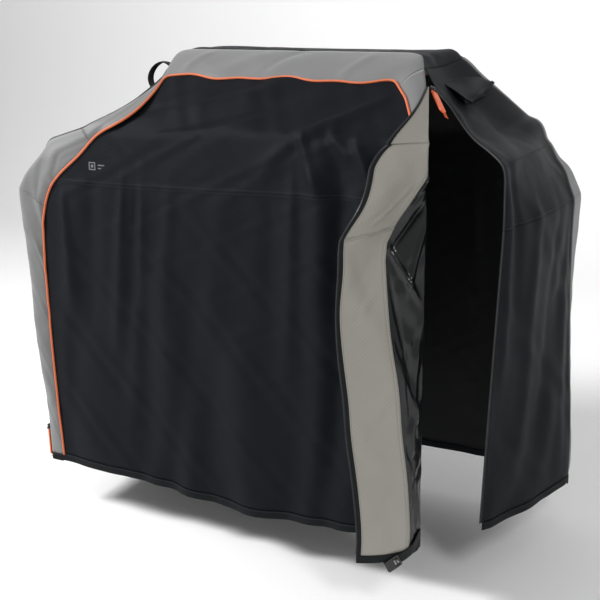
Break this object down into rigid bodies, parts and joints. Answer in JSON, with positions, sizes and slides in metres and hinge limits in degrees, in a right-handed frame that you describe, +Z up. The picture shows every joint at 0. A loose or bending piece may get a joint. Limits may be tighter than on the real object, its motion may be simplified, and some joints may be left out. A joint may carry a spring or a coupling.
{
  "type": "grill cover",
  "caption": "Fitted cloth cover for a cart grill: sloped hood, side-shelf shoulders, contrast bands and piping, a zip-open front flap, a vent and a carry loop.",
  "frame": {"origin": "on the flat inner face of the hood's top, midway along the length and midway between the front and rear faces; the grill's hood meets the cover there", "axes": "+X along the cover to the right as seen from the front, -Y towards the front, +Z up"},
  "size_m": [1.4736, 0.7763, 1.2245],
  "materials": {
    "black_cloth": "woven polyester, faint sheen, coated inside",
    "grey_cloth": "woven polyester, matte, taupe coating inside",
    "piping": "satin woven cord cover",
    "binding": "matte woven tape",
    "mesh": "matte coated mesh",
    "zip_teeth": "matte",
    "slider": "satin black",
    "pull": "woven orange webbing",
    "webbing": "woven webbing",
    "buckle": "moulded, fine texture",
    "mark": "printed, matte"
  },
  "bodies": {
    "cover": {"front_panel_lower": "black_cloth", "front_panel_middle": "black_cloth", "front_panel_upper": "black_cloth", "front_band_left_drop": "grey_cloth", "front_band_left_shoulder": "grey_cloth", "front_band_left_hood": "grey_cloth", "front_band_top": "grey_cloth", "front_band_right_hood": "grey_cloth", "front_piping": "piping", "front_hem": "binding", "gusset_top": "black_cloth", "gusset_left_hood": "black_cloth", "gusset_left_shelf": "black_cloth", "gusset_left_shoulder": "black_cloth", "gusset_left_end": "black_cloth", "gusset_right_hood": "black_cloth", "gusset_right_shelf": "black_cloth", "gusset_right_shoulder": "black_cloth", "gusset_right_end": "black_cloth", "rear_panel_lower": "black_cloth", "rear_panel_middle": "black_cloth", "rear_panel_upper": "black_cloth", "rear_band_left": "grey_cloth", "rear_band_right": "grey_cloth", "rear_band_left_hood": "grey_cloth", "rear_band_right_hood": "grey_cloth", "rear_band_top": "grey_cloth", "rear_piping": "piping", "rear_hem": "binding", "end_hems": "binding", "left_zip_tape": "binding", "left_zip_teeth": "zip_teeth", "right_zip_tape": "binding", "vent_mesh": "mesh", "loop_anchors": "webbing", "plain_mark": "mark"},
    "flap": {"flap_panel": "black_cloth", "flap_band_drop": "grey_cloth", "flap_band_shoulder": "grey_cloth", "flap_band_shelf": "grey_cloth", "flap_piping": "piping", "flap_zip_tape": "binding", "flap_hem": "binding"},
    "flap_top": {"flap_top_band": "grey_cloth", "flap_top_zip_tape": "binding"},
    "end_flap": {"end_flap_panel": "black_cloth", "end_flap_zip_tape": "binding", "end_flap_hem": "binding"},
    "left_slider": {"left_slider": "slider"},
    "left_pull": {"left_pull": "pull"},
    "right_slider": {"right_slider": "slider"},
    "right_pull": {"right_pull": "pull"},
    "vent": {"vent_flap": "black_cloth"},
    "loop": {"carry_loop": "webbing"},
    "flap_strap": {"flap_strap": "webbing", "flap_buckle": "buckle"},
    "rear_strap": {"rear_strap": "webbing", "rear_buckle": "buckle"}
  },
  "joints": [
    {"name": "flap_fold", "type": "hinge", "parent": "cover", "child": "flap", "pos_m": [0.484, -0.305, -0.175], "axis": [-0.0144, 0, 0.9999], "range_deg": [-25, 140]},
    {"name": "flap_top_fold", "type": "hinge", "parent": "cover", "child": "flap_top", "pos_m": [0.484, -0.305, -0.175], "axis": [-0.3109, 0.7576, 0.5739], "range_deg": [-25, 140]},
    {"name": "end_flap_swing", "type": "hinge", "parent": "cover", "child": "end_flap", "pos_m": [0.716, 0.25, -1.215], "axis": [0.0198, -0.5428, 0.8396], "range_deg": [0, 120]},
    {"name": "left_slider_travel", "type": "slide", "parent": "cover", "child": "left_slider", "axis": [-0.0235, 0, 0.9997], "range_m": [0, 0.72]},
    {"name": "left_pull_hinge", "type": "hinge", "parent": "left_slider", "child": "left_pull", "pos_m": [-0.72201, -0.294, -1.12959], "axis": [0, 1, 0], "range_deg": [0, 95]},
    {"name": "right_slider_travel", "type": "slide", "parent": "cover", "child": "right_slider", "axis": [0.5339, -0.674, -0.5106], "range_m": [0, 0.12]},
    {"name": "right_pull_hinge", "type": "hinge", "parent": "right_slider", "child": "right_pull", "pos_m": [0.44472, -0.14765, -0.06944], "axis": [-0.4871, -0.7388, 0.4658], "range_deg": [0, 95]},
    {"name": "vent_hinge", "type": "hinge", "parent": "cover", "child": "vent", "pos_m": [0.43029, 0.062, -0.0562], "axis": [0, -1, 0], "range_deg": [-12, 60]},
    {"name": "loop_flop", "type": "hinge", "parent": "cover", "child": "loop", "pos_m": [-0.45131, 0, -0.06606], "axis": [-0.7227, 0, -0.6911], "range_deg": [-30, 30]},
    {"name": "flap_strap_swing", "type": "hinge", "parent": "flap", "child": "flap_strap", "pos_m": [0.49088, -0.31895, -1.16832], "axis": [-0.0255, -0.0093, 0.9996], "range_deg": [0, 80]},
    {"name": "rear_strap_swing", "type": "hinge", "parent": "cover", "child": "rear_strap", "pos_m": [0.56, 0.2991, -1.04], "axis": [-1, 0, 0], "range_deg": [0, 80]}
  ],
  "couplings": [
    {"joint": "flap_top_fold", "follows": "flap_fold", "ratio": 1}
  ]
}
